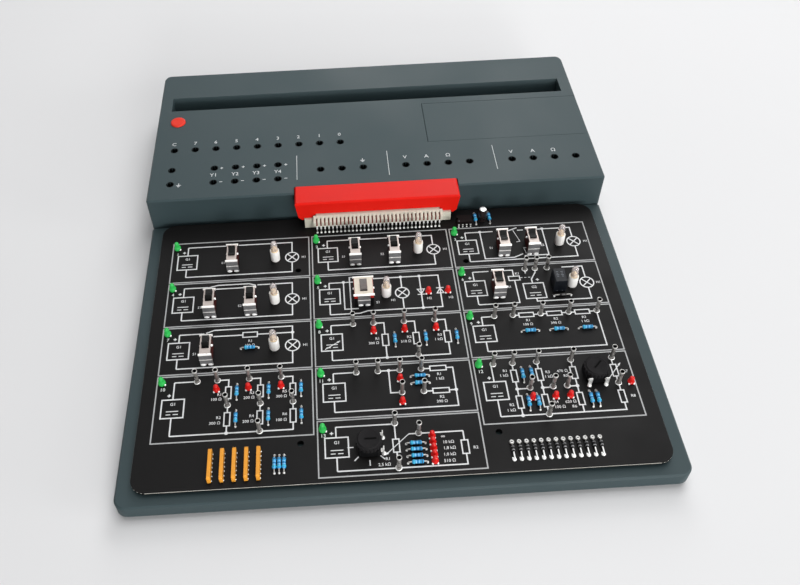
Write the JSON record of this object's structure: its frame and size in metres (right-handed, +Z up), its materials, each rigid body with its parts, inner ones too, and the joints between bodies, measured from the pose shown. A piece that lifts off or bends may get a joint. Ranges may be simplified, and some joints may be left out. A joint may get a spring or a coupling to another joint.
{
  "type": "direct current circuit trainer",
  "caption": "Desktop circuit trainer: low deck with a plug-in board of lamp, switch and resistor circuits, and a raised hood with lead sockets, tablet slot and sliding cover.",
  "frame": {"origin": "middle of the case's footprint, on the surface the rubber feet stand on", "axes": "+X to the user's right, +Y to the rear, +Z up"},
  "size_m": [0.296, 0.336, 0.0375],
  "materials": {
    "case_plastic": "fine moulded texture, dark slate grey",
    "foot_rubber": "matte black rubber",
    "inner_board": "green laminate",
    "socket_plastic": "black moulded plastic",
    "red_button": "satin red plastic",
    "socket_shell": "bright plated shell",
    "red_block": "semi-matte red plastic",
    "connector_beige": "off-white moulded plastic",
    "board_laminate": "near-black satin board with white printed lines",
    "pin_metal": "tinned pins",
    "post_metal": "bright plated posts",
    "red_lens": "tinted clear lens",
    "green_lens": "tinted clear lens",
    "lamp_white": "white moulded holder",
    "lamp_glass": "clear glass",
    "resistor_blue": "lacquered blue with colour bands",
    "diode_black": "black moulded body with a pale band",
    "diode_glass": "glass body with a dark band",
    "network_orange": "dipped orange coating",
    "relay_black": "black moulded case",
    "chip_black": "black moulded case",
    "can_sleeve": "dark sleeve with a bright domed top",
    "switch_red": "dark red moulded housing",
    "frame_steel": "bright bent sheet",
    "pot_black": "black moulded body",
    "knob_black": "matte black fluted wheel",
    "rocker_black": "black moulded rocker"
  },
  "bodies": {
    "case": {"bottom_plate": "case_plastic", "rubber_feet": "foot_rubber", "front_deck": "case_plastic", "rear_cover": "case_plastic", "main_circuit_board": "inner_board", "panel_sockets": "socket_plastic", "button_switch": "socket_plastic", "extension_bay": "case_plastic", "power_inlet": "socket_plastic", "data_socket": "socket_shell", "connector_block": "red_block", "master_connector": "connector_beige"},
    "power_button": {"power_button": "red_button"},
    "extension_cover": {"extension_cover": "case_plastic"},
    "trainer_board": {"trainer_pcb": "board_laminate", "board_pads": "foot_rubber", "board_connector": "connector_beige", "board_connector_pins": "pin_metal", "test_posts": "post_metal", "red_leds": "red_lens", "green_leds": "green_lens", "lamp_holders": "lamp_white", "lamp_bulbs": "lamp_glass", "resistors": "resistor_blue", "diodes": "diode_black", "relay_diode": "diode_glass", "resistor_networks": "network_orange", "relay": "relay_black", "control_chip": "chip_black", "supply_capacitor": "can_sleeve", "switch_bodies": "switch_red", "switch_frames": "frame_steel", "potentiometer_12": "pot_black", "potentiometer_13": "pot_black"},
    "rocker_1": {"rocker_1": "rocker_black"},
    "rocker_2_left": {"rocker_2_left": "rocker_black"},
    "rocker_2_right": {"rocker_2_right": "rocker_black"},
    "rocker_3_left": {"rocker_3_left": "rocker_black"},
    "rocker_3_right": {"rocker_3_right": "rocker_black"},
    "rocker_4_left": {"rocker_4_left": "rocker_black"},
    "rocker_4_right": {"rocker_4_right": "rocker_black"},
    "rocker_5": {"rocker_5": "rocker_black"},
    "rocker_6": {"rocker_6": "rocker_black"},
    "rocker_7": {"rocker_7": "rocker_black"},
    "knob_12": {"knob_12": "knob_black"},
    "knob_13": {"knob_13": "knob_black"}
  },
  "joints": [
    {"name": "board_slide", "type": "slide", "parent": "case", "child": "trainer_board", "axis": [0, -1, 0], "range_m": [0, 0.016]},
    {"name": "button_press", "type": "slide", "parent": "case", "child": "power_button", "axis": [0, 0, -1], "range_m": [0, 0.0015], "stiffness_N_per_m": 400, "springref_m": -0.001},
    {"name": "cover_slide", "type": "slide", "parent": "case", "child": "extension_cover", "axis": [1, 0, 0], "range_m": [0, 0.105]},
    {"name": "rocker_1_tilt", "type": "hinge", "parent": "trainer_board", "child": "rocker_1", "pos_m": [-0.0925, -0.0065, 0.0243], "axis": [1, 0, 0], "range_deg": [-26, 0]},
    {"name": "rocker_2_left_tilt", "type": "hinge", "parent": "trainer_board", "child": "rocker_2_left", "pos_m": [-0.0163, -0.0067, 0.0243], "axis": [1, 0, 0], "range_deg": [0, 26]},
    {"name": "rocker_2_right_tilt", "type": "hinge", "parent": "trainer_board", "child": "rocker_2_right", "pos_m": [0.008, -0.0067, 0.0243], "axis": [1, 0, 0], "range_deg": [0, 26]},
    {"name": "rocker_3_left_tilt", "type": "hinge", "parent": "trainer_board", "child": "rocker_3_left", "pos_m": [0.0764, -0.0061, 0.0243], "axis": [1, 0, 0], "range_deg": [-26, 0]},
    {"name": "rocker_3_right_tilt", "type": "hinge", "parent": "trainer_board", "child": "rocker_3_right", "pos_m": [0.0944, -0.0061, 0.0243], "axis": [1, 0, 0], "range_deg": [-26, 0]},
    {"name": "rocker_4_left_tilt", "type": "hinge", "parent": "trainer_board", "child": "rocker_4_left", "pos_m": [-0.1046, -0.0421, 0.0243], "axis": [1, 0, 0], "range_deg": [0, 26]},
    {"name": "rocker_4_right_tilt", "type": "hinge", "parent": "trainer_board", "child": "rocker_4_right", "pos_m": [-0.0805, -0.0421, 0.0243], "axis": [1, 0, 0], "range_deg": [0, 26]},
    {"name": "rocker_5_tilt", "type": "hinge", "parent": "trainer_board", "child": "rocker_5", "pos_m": [-0.013, -0.0405, 0.0243], "axis": [1, 0, 0], "range_deg": [0, 26]},
    {"name": "rocker_6_tilt", "type": "hinge", "parent": "trainer_board", "child": "rocker_6", "pos_m": [0.0679, -0.0397, 0.0243], "axis": [1, 0, 0], "range_deg": [-26, 0]},
    {"name": "rocker_7_tilt", "type": "hinge", "parent": "trainer_board", "child": "rocker_7", "pos_m": [-0.1044, -0.0766, 0.0243], "axis": [1, 0, 0], "range_deg": [0, 26]},
    {"name": "knob_12_turn", "type": "hinge", "parent": "trainer_board", "child": "knob_12", "pos_m": [0.1107, -0.1057, 0.0218], "axis": [0, 0, 1], "range_deg": [-270, 0]},
    {"name": "knob_13_turn", "type": "hinge", "parent": "trainer_board", "child": "knob_13", "pos_m": [-0.0166, -0.1429, 0.0218], "axis": [0, 0, 1], "range_deg": [-225, 45]}
  ]
}
